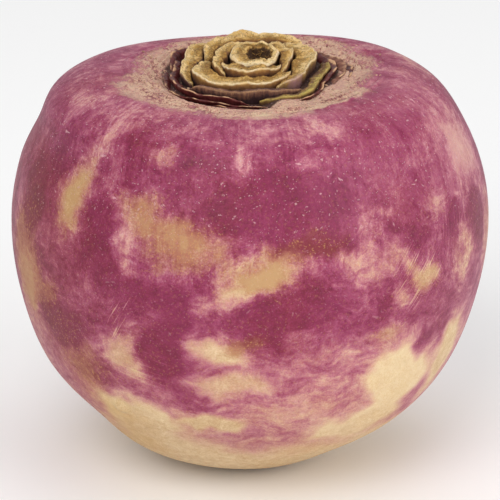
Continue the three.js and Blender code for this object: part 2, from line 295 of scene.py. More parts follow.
class Wire:
    """One output of a node, which can be added, multiplied and so on."""

    def __init__(self, tree, socket):
        self.tree = tree
        self.socket = socket

    __add__ = arithmetic("ADD")
    __radd__ = arithmetic("ADD", swapped=True)
    __sub__ = arithmetic("SUBTRACT")
    __rsub__ = arithmetic("SUBTRACT", swapped=True)
    __mul__ = arithmetic("MULTIPLY")
    __rmul__ = arithmetic("MULTIPLY", swapped=True)
    __truediv__ = arithmetic("DIVIDE")
    __rtruediv__ = arithmetic("DIVIDE", swapped=True)
    __pow__ = arithmetic("POWER")
    most = arithmetic("MAXIMUM")
    least = arithmetic("MINIMUM")

    def kept(self):
        """The value held between 0 and 1."""
        return self.most(0.0).least(1.0)

    def stepped(self, low, high):
        """0 below low, 1 above high, and a smooth rise between them."""
        span = {"From Min": low, "From Max": high, "To Min": 0.0, "To Max": 1.0}
        settings = {"interpolation_type": "SMOOTHSTEP"}
        return self.tree.node("ShaderNodeMapRange", settings, {"Value": self, **span})

    def scaled(self, x, y, z):
        settings = {"operation": "MULTIPLY"}
        return self.tree.node("ShaderNodeVectorMath", settings, {0: self, 1: (x, y, z)})


class Tree:
    """A shader or geometry node tree that nodes are added to."""

    def __init__(self, tree):
        self.nodes = tree.nodes
        self.links = tree.links

    def node(self, kind, settings=None, sockets=None, output=0):
        """Adds a node: its settings first, then the values or wires of its sockets."""
        made = self.nodes.new(kind)
        for key, value in (settings or {}).items():
            setattr(made, key, value)
        for key, value in (sockets or {}).items():
            socket = made.inputs[key]
            if isinstance(value, Wire):
                self.links.new(value.socket, socket)
            else:
                socket.default_value = value
        return Wire(self, made.outputs[output])

    def noise(self, vector, per_mm, detail=3.0, roughness=0.55, output="Fac"):
        sockets = {"Vector": vector, "Scale": per_mm, "Detail": detail, "Roughness": roughness}
        return self.node("ShaderNodeTexNoise", {}, sockets, output)

    def vector(self, x, y, z):
        return self.node("ShaderNodeCombineXYZ", {}, {0: x, 1: y, 2: z})


class Finish(Tree):
    """A material with one Principled shader."""

    def __init__(self, name, constants):
        self.material = bpy.data.materials.new(name)
        self.material.use_nodes = True
        super().__init__(self.material.node_tree)
        self.shader = self.nodes["Principled BSDF"]
        for key, value in constants.items():
            self.shader.inputs[key].default_value = value
        # Object coordinates in millimetres.
        place = self.node("ShaderNodeTexCoord", {}, {}, "Object")
        self.place = place.scaled(1 / MM, 1 / MM, 1 / MM)

    def __getitem__(self, name):
        """The wire of a point attribute."""
        settings = {"attribute_type": "GEOMETRY", "attribute_name": name}
        return self.node("ShaderNodeAttribute", settings, {}, "Fac")

    def mix(self, share, a, b):
        """A colour that goes from a to b as share goes from 0 to 1."""
        a, b = (x if isinstance(x, Wire) else srgb(*x) for x in (a, b))
        return self.node("ShaderNodeMix", {"data_type": "RGBA"}, {0: share, 6: a, 7: b}, 2)

    def ramp(self, value, places, colours):
        """A colour picked by value from colours, each at its place."""
        colour = self.node("ShaderNodeValToRGB", {}, {"Fac": value}, "Color")
        elements = colour.socket.node.color_ramp.elements
        for _ in places[2:]:
            elements.new(1.0)
        for element, place, tint in zip(elements, places, colours):
            element.position = place
            element.color = srgb(*tint)
        return colour

    def feed(self, **wires):
        for key, wire in wires.items():
            self.links.new(wire.socket, self.shader.inputs[key.replace("_", " ")])
        return self.material

    def bump(self, height, depth_mm):
        """A normal bent by height, a wire from 0 to 1 that stands for depth_mm."""
        sockets = {"Strength": 1.0, "Distance": depth_mm * MM, "Height": height}
        return self.node("ShaderNodeBump", {}, sockets)


def srgb(red, green, blue):
    """A colour given as 0 to 255 per channel, as the renderer wants it."""

    def linear(channel):
        c = channel / 255
        return c / 12.92 if c <= 0.04045 else ((c + 0.055) / 1.055) ** 2.4

    return (linear(red), linear(green), linear(blue), 1.0)


# ---- The root's surface ----
SIDES = 420
FLANK_RINGS = 165
COLLAR_RINGS = 62
ANGLES = np.linspace(0, 2 * math.pi, SIDES, endpoint=False)


def crown_lift(distance, angle):
    lean = distance * np.sin(angle) * CROWN_TILT
    back = np.maximum(0, np.cos(angle - BACK_SAG_TOWARDS))
    front = np.maximum(0, -np.sin(angle))
    sag = -BACK_SAG * back**3 - FRONT_SAG * front**2
    share = smooth(distance, *TILT_ENDS)
    return lean * (1 - share) + sag * share


def flank_rings():
    stations = [(right, left, height) for height, right, left in FLANK]
    right, left, height = even_curve(stations, FLANK_RINGS)
    drift = smooth(height, *CROWN_DRIFT)
    swell = np.sin(math.pi * np.minimum(1, height / 72))
    side = (1 + np.cos(ANGLES)) / 2
    lobes = THREE_LOBES * np.sin(3 * ANGLES) + FIVE_LOBES * np.sin(5 * ANGLES)
    radius = (right * side + left * (1 - side)) * (1 + lobes * swell)
    depth = 1 + (DEPTH_TO_WIDTH - 1) * swell
    x = CROWN[0] * drift + radius * np.cos(ANGLES)
    y = CROWN[1] * drift + radius * np.sin(ANGLES) * depth
    z = height + crown_lift(radius, ANGLES) * drift
    return np.stack([x, y, z], -1)


def lobe(angle, towards, width_cosine):
    """1 towards a direction in degrees, falling to 0 where the turn's cosine is width_cosine."""
    return smooth(np.cos(angle - math.radians(towards)), width_cosine, (1 + width_cosine) / 2)


def seat_edge(angle):
    """How far out the seat's painted shade shows from the crown's centre, before cork covers it."""
    return 17.1 + front_reach(angle) - 1.7 * lobe(angle, 326, 0.6)


def front_reach(angle):
    """How much further the seat reaches towards the front."""
    return FRONT_REACH * np.maximum(0, np.cos(angle - FRONT_REACH_TOWARDS)) ** 4


def collar_rings():
    station, height = even_curve(COLLAR, COLLAR_RINGS)
    distance = station + front_reach(ANGLES) * (1 - smooth(station, 18, 25))
    x = CROWN[0] + distance * np.cos(ANGLES)
    y = CROWN[1] + distance * np.sin(ANGLES)
    fill = CORK_FILL + 0.25 * ripple_round(ANGLES, 21, 3, 12)
    fill = fill + 0.6 * lobe(ANGLES, 322, 0.66) - 0.6 * lobe(ANGLES, 250, 0.85)
    filled = np.maximum(height, fill)
    z = filled + crown_lift(distance, ANGLES)
    return np.stack([x, y, z], -1)


def scar_rings(distance, angle):
    """Low broken rings that old leaf scars leave in the cork."""
    in_range = smooth(distance, 18, 19.5) * (1 - smooth(distance, 24.5, 26.5))
    wander = ripple_round(angle, 5, 2, 14)
    coarse = np.cos(2 * math.pi * (distance / 1.5 + wander * 0.25))
    fine = np.cos(2 * math.pi * (distance / 0.62 + wander))
    broken = 0.6 + 0.4 * ripple_round(angle, 6, 4, 16)
    return in_range * (0.22 * coarse * broken + 0.10 * fine)


def cork_edge(angle):
    """How far the cork reaches from the crown's centre: furthest at the front and its left."""
    towards = np.cos(angle - CORK_REACH_TOWARDS)
    ragged = 0.35 * ripple_round(angle, 11, 8, 60, 14) + 0.55 * ripple_round(angle, 12, 3, 9)
    return 22.0 + 5.5 * smooth(towards, 0.5, 0.95) + 2.4 * lobe(angle, 304, 0.86) + ragged


class Surface:
    """The root's fine surface, and where things lie on it."""

    def __init__(self):
        self.rings = np.concatenate([flank_rings(), collar_rings()])
        x, y, height = np.moveaxis(self.rings, -1, 0)
        self.crown_angle = np.arctan2(y - CROWN[1], x - CROWN[0])
        self.crown_distance = np.hypot(x - CROWN[0], y - CROWN[1])
        self.on_top = smooth(height, 70, 74)
        self.around = np.degrees(np.arctan2(x, -y))
        around = np.roll(self.rings, -1, axis=1) - np.roll(self.rings, 1, axis=1)
        upward = np.gradient(self.rings, axis=0)
        self.around_axis = around / np.linalg.norm(around, axis=-1, keepdims=True)
        normal = np.cross(self.around_axis, upward)
        self.normal = normal / np.maximum(np.linalg.norm(normal, axis=-1, keepdims=True), 1e-9)
        self.up_axis = np.cross(self.normal, self.around_axis)
        # Markings are laid on slightly shifted places, which makes their outlines wander.
        drift = 2.3 * drifts(self.rings, 6.5, 5) + 1.3 * drifts(self.rings, 2.4, 6)
        self.wandering = self.rings + drift
        self.rings = self.rings.copy()
        self.rings[..., 2] += scar_rings(self.crown_distance, self.crown_angle) * self.on_top

    def frame_at(self, angle, height, turn=0.0):
        """A place on the flank, with its sideways, upward and outward directions."""
        flank = slice(0, FLANK_RINGS)
        off = np.abs(wrapped(self.around[flank] - angle)) * 0.7
        off = np.hypot(off, self.rings[flank, :, 2] - height)
        spot = np.unravel_index(off.argmin(), off.shape)
        c, s = math.cos(math.radians(turn)), math.sin(math.radians(turn))
        side, up = self.around_axis[spot], self.up_axis[spot]
        return self.rings[spot], side * c + up * s, up * c - side * s, self.normal[spot]

    def patch(self, angle, height, half_width, half_height, turn=0.0):
        """1 inside an oval on the skin, fading to 0 outside it."""
        centre, side, up, out = self.frame_at(angle, height, turn)
        away = self.wandering - centre
        a, b = away @ side / half_width, away @ up / half_height
        depth = away @ out / (2.5 * max(half_width, half_height))
        return 1 - smooth(np.sqrt(a * a + b * b + depth * depth), 0.3, 1.55)


def pigment(surface):
    """Purple and russet over the skin, from 0 to 1, before the fine mottling."""
    height = surface.wandering[..., 2]
    around = np.radians(surface.around)
    foot = 15 + 2.0 * ripple_round(around, 31, 1, 5, 5) - 2.0 * smooth(np.abs(surface.around - 5), 60, 0)
    foot = foot + 4.0 * smooth(np.abs(surface.around + 36), 30, 8)
    purple = 0.85 - 0.30 * smooth(height, 42, 28) + 0.04 * smooth(height, 50, 70)
    purple = purple + 0.04 * ripple_round(around, 33, 2, 8, 5) - 0.17 * smooth(height, 72, 75.5)
    russet = 0.10 + 0.06 * smooth(height, 52, 30)
    for *oval, more_purple, more_russet in MARKS:
        there = surface.patch(*oval)
        purple = purple + there * more_purple
        russet = russet + there * more_russet
    bare = 1 - smooth(height - foot, -5.5, 4.0)
    purple = purple * (1 - bare)
    russet = russet + 0.22 * bare
    return np.clip(purple, 0, 1.06), np.clip(russet, 0, 1)


# ---- Geometry node trees ----
def geometry_tree(name, inputs):
    """A geometry tree with named inputs. Returns the group, a Tree for it and its input wires."""
    group = bpy.data.node_groups.new(name, "GeometryNodeTree")
    group.interface.new_socket("Geometry", in_out="INPUT", socket_type="NodeSocketGeometry")
    for key, kind in inputs.items():
        group.interface.new_socket(key, in_out="INPUT", socket_type=f"NodeSocket{kind}")
    group.interface.new_socket("Geometry", in_out="OUTPUT", socket_type="NodeSocketGeometry")
    tree = Tree(group)
    entry = group.nodes.new("NodeGroupInput")
    wires = {socket.name: Wire(tree, socket) for socket in entry.outputs if socket.name}
    return group, tree, wires


def close_tree(group, tree, geometry, material):
    """Ends a tree in Realize Instances and Set Material."""
    real = tree.node("GeometryNodeRealizeInstances", {}, {"Geometry": geometry})
    painted = tree.node("GeometryNodeSetMaterial", {}, {"Geometry": real, "Material": material})
    end = group.nodes.new("NodeGroupOutput")
    group.links.new(painted.socket, end.inputs["Geometry"])
    return group


def grow(host, group, values, name):
    """Runs a tree on host with these values, and makes a plain piece of what it gives."""
    modifier = host.modifiers.new(group.name, "NODES")
    modifier.node_group = group
    for item in group.interface.items_tree:
        if item.in_out == "INPUT" and item.name in values:
            modifier[item.identifier] = values[item.name]
    graph = bpy.context.evaluated_depsgraph_get()
    made = bpy.data.meshes.new_from_object(host.evaluated_get(graph), depsgraph=graph)
    host.modifiers.remove(modifier)
    made.name = name
    return placed(name, made)


def named(tree, name):
    """A named attribute inside a geometry tree."""
    settings = {"data_type": "FLOAT"}
    return tree.node("GeometryNodeInputNamedAttribute", settings, {"Name": name}, "Attribute")


def along_normal(tree, normal, height):
    return tree.node("ShaderNodeVectorMath", {"operation": "SCALE"}, {0: normal, "Scale": height})


def relief_tree(material, where):
    """Moves a surface out and in by two grains of noise, as far as the attribute `where` lets it."""
    sizes = [f"{grain} {measure}" for grain in ("Coarse", "Fine") for measure in ("Size", "Height")]
    inputs = {**{size: "Float" for size in sizes}, "Seed": "Float"}
    group, tree, wire = geometry_tree(f"relief_{where}", inputs)
    place = tree.node("GeometryNodeInputPosition")
    height = 0.0
    for grain in ("Coarse", "Fine"):
        scale = 1.0 / wire[f"{grain} Size"]
        sockets = {"Vector": place, "W": wire["Seed"], "Scale": scale, "Detail": 3.0}
        rough = tree.node("ShaderNodeTexNoise", {"noise_dimensions": "4D"}, sockets, "Fac")
        height = (rough - 0.5) * wire[f"{grain} Height"] + height
    offset = along_normal(tree, tree.node("GeometryNodeInputNormal"), height * named(tree, where))
    moved = {"Geometry": wire["Geometry"], "Offset": offset}
    return close_tree(group, tree, tree.node("GeometryNodeSetPosition", {}, moved), material)


def roughened(rough, material, where, coarse, fine, seed):
    """Replaces a rough piece by one with relief: two grains of noise, each (size, height) in mm."""
    values = {"Coarse Size": coarse[0] * MM, "Coarse Height": coarse[1] * MM, "Seed": float(seed)}
    values |= {"Fine Size": fine[0] * MM, "Fine Height": fine[1] * MM}
    name = rough.name
    finished = grow(rough, relief_tree(material, where), values, name)
    bpy.data.objects.remove(rough)
    finished.name = name
    return finished


def scatter_tree(name, material, where, shape):
    """Strews small copies of a shape over a surface, thicker where the attribute `where` is high."""
    inputs = {key: "Float" for key in ("Per Square Metre", "Size", "Spread", "Flatness", "Sink")}
    group, tree, wire = geometry_tree(name, {**inputs, "Seed": "Int"})
    density = named(tree, where) * wire["Per Square Metre"]
    sockets = {"Mesh": wire["Geometry"], "Density": density, "Seed": wire["Seed"]}
    points = tree.node("GeometryNodeDistributePointsOnFaces", {}, sockets, "Points")
    scatter = points.socket.node
    normal, rotation = (Wire(tree, scatter.outputs[key]) for key in ("Normal", "Rotation"))

    def random(low, high, salt):
        sockets = {2: low, 3: high, "Seed": wire["Seed"] + salt}
        return tree.node("FunctionNodeRandomValue", {"data_type": "FLOAT"}, sockets, 1)

    size = wire["Size"] * (wire["Spread"] * random(-1.0, 1.0, 3.0) + 1.0)
    scale = tree.vector(size, size * random(0.55, 1.0, 5.0), size * wire["Flatness"])
    lean = tree.vector(random(-0.35, 0.35, 8.0), random(-0.35, 0.35, 9.0), random(0.0, 6.28, 7.0))
    spin = tree.node("FunctionNodeEulerToRotation", {}, {0: lean})
    turned = tree.node("FunctionNodeRotateRotation", {"rotation_space": "LOCAL"}, {0: rotation, 1: spin})
    sockets = {"Points": points, "Instance": shape(tree), "Rotation": turned, "Scale": scale}
    copies = tree.node("GeometryNodeInstanceOnPoints", {}, sockets)
    sunk = along_normal(tree, normal, 0.0 - wire["Sink"])
    sockets = {"Instances": copies, "Translation": sunk, "Local Space": False}
    moved = tree.node("GeometryNodeTranslateInstances", {}, sockets)
    return close_tree(group, tree, moved, material)


def strewn(host, tree, name, per_square_metre, size, spread, flatness, sink, seed):
    """Small bits on a piece: size and sink in mm, and how much of size varies."""
    values = {"Per Square Metre": per_square_metre, "Size": size * MM, "Spread": spread}
    values |= {"Flatness": flatness, "Sink": sink * MM, "Seed": seed}
    return grow(host, tree, values, name)


def crumb(tree):
    return tree.node("GeometryNodeMeshIcoSphere", {}, {"Radius": 1.0, "Subdivisions": 1})


def fibre(tree):
    sockets = {"Vertices": 5, "Side Segments": 3, "Radius Top": 0.2, "Radius Bottom": 1.0}
    return tree.node("GeometryNodeMeshCone", {}, {**sockets, "Depth": 9.0}, "Mesh")


# ---- Finishes ----
DARKEST_TINT = (0.875, 0.885, 0.865)
# Layers of pale specks: cells per millimetre, how big in them, and where the noise picks them.
SPECKS = [(0.95, 0.19, 0.40), (0.45, 0.09, 0.45), (0.30, 0.09, 0.45), (1.6, 0.23, 0.48)]


def skin_finish(surface):
    """Purple pigment in a thin waxy skin over cream flesh, russeted and rubbed in places."""
    constants = {
        "Specular IOR Level": 0.28,
        "Subsurface Weight": 0.05,
        "Subsurface Scale": 0.0014,
        "Subsurface Radius": (1, 0.35, 0.25),
    }
    skin = Finish("root_skin", constants)
    place = skin.place
    purple, russet = skin["purple"], skin["russet"]
    cork, brushed = skin["cork"], skin["brushed"]

    # Mottling at three grains, fine webs, and streaks that run round the root and down it.
    warp = skin.noise(place, 0.11, 2, output="Color")
    bent = place + warp.scaled(7, 7, 7)
    curl = skin.noise(place, 0.9, 2, output="Color")
    curled = bent + curl.scaled(0.9, 0.9, 0.9)
    blotch = skin.noise(curled, 0.17, 5, 0.66) - 0.5
    mottle = skin.noise(curled, 0.75, 4, 0.68) - 0.5
    grain = skin.noise(place, 3.2, 2, 0.6) - 0.5
    web = (1 - ((skin.noise(bent, 0.5, 3, 0.6) - 0.5) * 26) ** 2).kept()
    round_streak = skin.noise(bent.scaled(0.2, 0.2, 0.9), 1, 3, 0.6) - 0.5
    x, y = (skin.node("ShaderNodeSeparateXYZ", {}, {0: place}, axis) for axis in range(2))
    heading = skin.node("ShaderNodeVectorMath", {"operation": "NORMALIZE"}, {0: skin.vector(x, y, 0)})
    # The noise changes within about a millimetre round the root and in about ten down it.
    strip = 50
    meridian = heading.scaled(strip, strip, 0) + place.scaled(0, 0, 0.1) + warp.scaled(1.6, 1.6, 1.6)
    down_streak = skin.noise(meridian, 1, 3, 0.6) - 0.5

    halfway = (purple * (1.1 - purple) * 3.4).kept()
    tinted = (purple * 1.5 + 0.18).kept() * skin["mottled"]
    uneven = blotch * (halfway * 1.15 + 0.48) + mottle * (halfway * 0.68 + 0.40) + grain * 0.36
    upright = down_streak * (halfway * 0.5 + 0.14) * (1.1 - brushed)
    streaks = round_streak * (halfway * 0.9 + 0.2) * brushed + upright
    webs = web * 0.10 * (mottle * 4 + 0.5).kept()
    density = purple + (uneven + streaks - webs) * tinted

    # Strokes and hairline scratches lift the colour off in a few places.
    lifted = 0
    for name, (angle, height, _, _, run, length, width, softness, lift) in STROKES.items():
        centre, side, up, out = surface.frame_at(angle, height, run)
        turn = Matrix([side, up, out]).transposed().to_euler()
        sockets = {"Vector": place, "Location": centre.tolist(), "Rotation": tuple(turn)}
        sockets["Scale"] = (length, width, length)
        local = skin.node("ShaderNodeMapping", {"vector_type": "TEXTURE"}, sockets)
        lines = skin.noise(local, 1, 2, 0.5).stepped(0.62 - softness, 0.66 + softness / 3)
        lifted = lines * skin[name] * lift + lifted
    density = (density - lifted * (density * 0.8 + 0.2)) * 0.8

    # Magenta in some places and maroon in others, cream where there is no pigment. The maroon towards
    # the left is partly painted shade.
    places = [0, 0.1, 0.27, 0.44, 0.62, 0.8, 1]
    magentas = [
        (227, 204, 163), (217, 182, 152), (202, 150, 142), (179, 107, 124),
        (151, 64, 98), (131, 39, 77), (104, 22, 56),
    ]
    maroons = [
        (214, 182, 128), (204, 162, 122), (186, 126, 112), (163, 84, 98),
        (141, 50, 78), (122, 30, 56), (96, 18, 38),
    ]
    redder = skin.noise(place, 0.07, 3, 0.55) * 2.6 - 1.25 + skin["maroon"]
    redder = (redder + grain * 1.6 + mottle * 0.8).kept()
    painted = skin.mix(redder, skin.ramp(density, places, magentas), skin.ramp(density, places, maroons))
    lilac = (skin["upper"] - russet * 2).kept() * (0.50 - density).kept()
    painted = skin.mix((lilac * 2.2).kept() * 0.7, painted, (204, 138, 158))
    # Russet browns whatever is under it: ochre over cream, rust over purple, in grains and flecks.
    rust_noise = skin.noise(curled, 0.55, 5, 0.72) - 0.5
    rust = (russet * 1.15 + (rust_noise * 1.6 + grain * 0.7) * (russet * 2.5).kept()).kept()
    rusts = [(176, 134, 90), (160, 102, 76), (120, 44, 48)]
    painted = skin.mix(rust * 0.9, painted, skin.ramp(density, [0, 0.28, 0.8], rusts))
    flecks = skin.noise(place, 1.9, 3, 0.7).stepped(0.57, 0.64) * (russet * 2.2 + 0.06).kept()
    painted = skin.mix(flecks * (density * 1.4 + 0.12).least(0.45), painted, (196, 146, 88))

    # Corky collar: pinkish tan granules in faint rings, with purple showing through at its edge.
    outward = skin["ring_out"] * 1.5
    rings = skin.vector(outward, skin["round_x"], skin["round_y"])
    ringed = skin.noise(rings, 1, 3, 0.65) - 0.5
    granules = (skin.noise(place, 1.9, 4, 0.8) - 0.5) * 2.3 + ringed * 1.1 + grain * 0.6
    granules = granules + blotch * 1.8 + mottle * 1.7 + 0.66
    corks = [(112, 62, 58), (192, 138, 118), (220, 168, 148), (240, 206, 172)]
    ragged = (mottle * 3.4 + blotch * 3 + ringed * 0.6) * (cork * 4).kept()
    cork_share = (cork * 1.35 + ragged - 0.12).kept()
    pinker = (blotch * 4 + mottle * 4 + 0.1).kept() * 0.6
    corky = skin.mix(pinker, skin.ramp(granules, [0.2, 0.36, 0.56, 0.75], corks), (194, 118, 128))
    painted = skin.mix(cork_share, painted, corky)
    # Painted shade: the seat between the scales is darkened towards dark maroon; the same mix gives the
    # old taproot scar its brown.
    shade_and_scar = (skin["seat"] * (granules * 1.5 + 0.5)).kept()
    painted = skin.mix(shade_and_scar * 0.92, painted, (50, 20, 20))
    lip = skin["lip"] * (ringed * 3 + 0.8).kept()
    painted = skin.mix(lip * 0.9, painted, (240, 216, 176))

    # Pale specks all over, most on the upper half, some drawn out sideways.
    speck = 0
    for stretch, reach, share in SPECKS:
        sideways = 0.28 if stretch == 0.30 else 0.8
        sockets = {"Vector": curled.scaled(stretch * sideways, stretch * sideways, stretch), "Scale": 1}
        cells = skin.node("ShaderNodeTexVoronoi", {}, sockets, "Distance")
        pick = skin.noise(place, 0.5 + stretch, 1).stepped(share, share + 0.10)
        speck = ((1 - cells.stepped(reach * 0.5, reach)) * pick).most(speck)
    speck = speck * skin["specked"]
    painted = skin.mix(speck * 0.55, painted, (226, 176, 180))

    # No two grains are quite the same tint.
    tints = skin.noise(place, 3, 2, 0.6, "Color").scaled(0.25, 0.20, 0.27)
    sockets = {0: painted, 1: tints + DARKEST_TINT}
    tinged = skin.node("ShaderNodeVectorMath", {"operation": "MULTIPLY"}, sockets)
    painted = skin.mix((density * 4 + cork + 0.25).kept(), painted, tinged)

    wax = (cork_share * 0.3 + rust * 0.12 + mottle * 0.25 + 0.46).kept()
    height = grain * 0.4 + mottle * 0.6 + granules * cork_share * 2.6 + speck * 0.8 - lifted * 0.4
    return skin.feed(Base_Color=painted, Roughness=wax, Normal=skin.bump(height, 0.10))


def flesh_finish(name, face_colours, side_colours, ribs=0.7, pale=(246, 228, 190)):
    """A dried cut leaf base: a pale outer rim with a painted highlight on its crest, pits and cracks
    painted dark as shade, bundle dots, and fibrous sides painted darker into the crevice as shade.
    """
    flesh = Finish(name, {"Subsurface Weight": 0.04, "Subsurface Scale": 0.0008})
    place = flesh.place
    cut, across = flesh["cut"], flesh["across"]
    down, along = flesh["down"], flesh["along"]
    meal = flesh.noise(place, 1.8, 5, 0.72) - 0.5
    crumbs = flesh.noise(place, 6, 2, 0.6) - 0.5
    patch = flesh.noise(place, 0.45, 3, 0.6) - 0.5

    # The cut: pale at the outer rim and browner towards the inner side; the browning is partly real and
    # partly painted shade in the dished trough.
    trough_shade = 1 - across.stepped(0.10, 0.88)
    browning_and_shade = (meal * 0.9 + patch * 1.4 + crumbs * 0.6 + trough_shade * 0.60 + 0.06).kept()
    face = flesh.ramp(browning_and_shade, [0, 0.32, 0.62, 1], face_colours)
    sockets = {"W": along * 0.9, "Randomness": 0.8}
    bundles = flesh.node("ShaderNodeTexVoronoi", {"voronoi_dimensions": "1D"}, sockets, "Distance")
    off_row = (across - 0.45 + patch * 0.4) * 4
    dot = 1 - ((bundles * 3.2) ** 2 + off_row**2).stepped(0.05, 0.24)
    face = flesh.mix(dot * 0.5, face, (84, 54, 28))
    # Painted highlight: a paler colour laid along the torn outer crest.
    crest_highlight = across.stepped(0.86, 0.96) * (patch * 4 + meal * 2 + 0.6).kept()
    face = flesh.mix(crest_highlight * 0.8, face, pale)
    # Pits and cracks are painted dark, as the shade in them.
    pits = flesh.noise(place, 2.6, 2, 0.6).stepped(0.60, 0.68)
    cracks = (1 - (patch * 22 + meal * 5) ** 2).kept() * (crumbs * 3 + 0.5).kept()
    holes = pits.most(cracks) * (1 - crest_highlight)
    face = flesh.mix(holes * 0.7, face, (88, 54, 22))

    # The sides: faint fibres run down them, and they darken into the crevice, which is painted shade.
    threads = flesh.noise(flesh.vector(along * 1.6, down * 0.3, across), 1, 3, 0.6) - 0.5
    fibres_and_crevice_shade = (down * 0.55 + threads * ribs + patch * 0.8 + meal * 0.4 + 0.22).kept()
    side = flesh.ramp(fibres_and_crevice_shade, [0, 0.45, 1], side_colours)
    painted = flesh.mix((cut * 1.3 + crumbs * 0.5 - 0.15).kept(), side, face)
    stain = (flesh["stain"] * 1.3 + patch * 2 + meal * 0.8 - 0.45).kept() * 0.6
    painted = flesh.mix(stain, painted, (166, 118, 128))
    height = meal + crumbs * 0.9 - dot * 0.8 - holes * 0.7 + threads * (1 - cut) * ribs
    rough = meal * 0.3 + 0.68
    return flesh.feed(Base_Color=painted, Roughness=rough, Normal=flesh.bump(height, 0.18))


def scale_finish(name, body, veins_and_shade, rim, roughness, torn_share=0.25):
    """A thin dry scale, veined along its height and darker lower down as painted shade, with a pale torn
    rim in places.
    """
    scale = Finish(name, {"Specular IOR Level": 0.18})
    down, along = scale["down"], scale["along"]
    veins = scale.noise(scale.vector(along * 2.4, down * 0.35, 0), 1, 3, 0.6) - 0.5
    patch = scale.noise(scale.place, 0.8, 4, 0.65) - 0.5
    # The darker colour shows in the veins and, lower down the scale, as painted shade.
    body_mix = scale.mix((veins * 1.1 + patch * 1.4 - down * 0.08 + 0.5).kept(), veins_and_shade, body)
    places = scale.noise(scale.place, 0.28, 2, 0.5) - 0.5
    torn = (1 - (down - patch * 0.5).stepped(0.02, 0.24)) * (places * 9 + patch + torn_share).kept()
    painted = scale.mix(torn, body_mix, rim)
    rough = patch * 0.3 + torn * 0.3 + roughness
    return scale.feed(Base_Color=painted, Roughness=rough, Normal=scale.bump(veins + patch * 0.6, 0.09))


def bit_finish(name, pale, deep):
    """Small loose bits: two tones mixed by a fine noise."""
    bit = Finish(name, {})
    tone = bit.noise(bit.place, 1.4, 3, 0.6).stepped(0.35, 0.65)
    return bit.feed(Base_Color=bit.mix(tone, deep, pale), Roughness=tone * 0.1 + 0.7)


# ---- Leaf bases ----
def thickness(leaf, away):
    _, span, thick, edge, *_ = leaf
    s = np.minimum(1, away / (span / 2))
    return edge + (thick - edge) * (1 - s * s) ** CRESCENT


def inner_radius(index, directions):
    """Where a leaf's inner face lies: outside the heart and every younger leaf."""
    leaves = list(LEAVES.values())
    radius = np.full_like(directions, HEART_RADIUS)
    for leaf in leaves[:index]:
        middle, span, _, _, gap, *_ = leaf
        away = np.abs(wrapped(directions - middle))
        past = smooth(np.maximum(0, away - span / 2) / FADE, 0, 1)
        radius += (thickness(leaf, away) + gap) * (1 - past)
    return radius + leaves[index][4]


def cut_profile(share, thick, thin):
    """How far the cut lies below its height, and how far from its edges a place is, across it.

    A fleshy one is dished, with a raised outer rim. A thin one slopes down to its inner face.
    """
    rim = np.minimum(0.22, thick * 0.22) / thick
    rounded = smooth(np.minimum(share, 1 - share), 0, rim)
    edge = 0.35 * (1 - rounded)
    if thin:
        return 0.5 * (1 - share) + 0.4 * edge, rounded
    trough = smooth(share, 0.88, 0.30)
    lip = 0.07 * thick * smooth(share, 0.74, 0.92)
    return edge + 0.15 * thick * trough - CUT_SLOPE * thick * (1 - share) - lip, rounded


def lean_crown(y, height):
    return height + (y - CROWN[1]) * CROWN_TILT


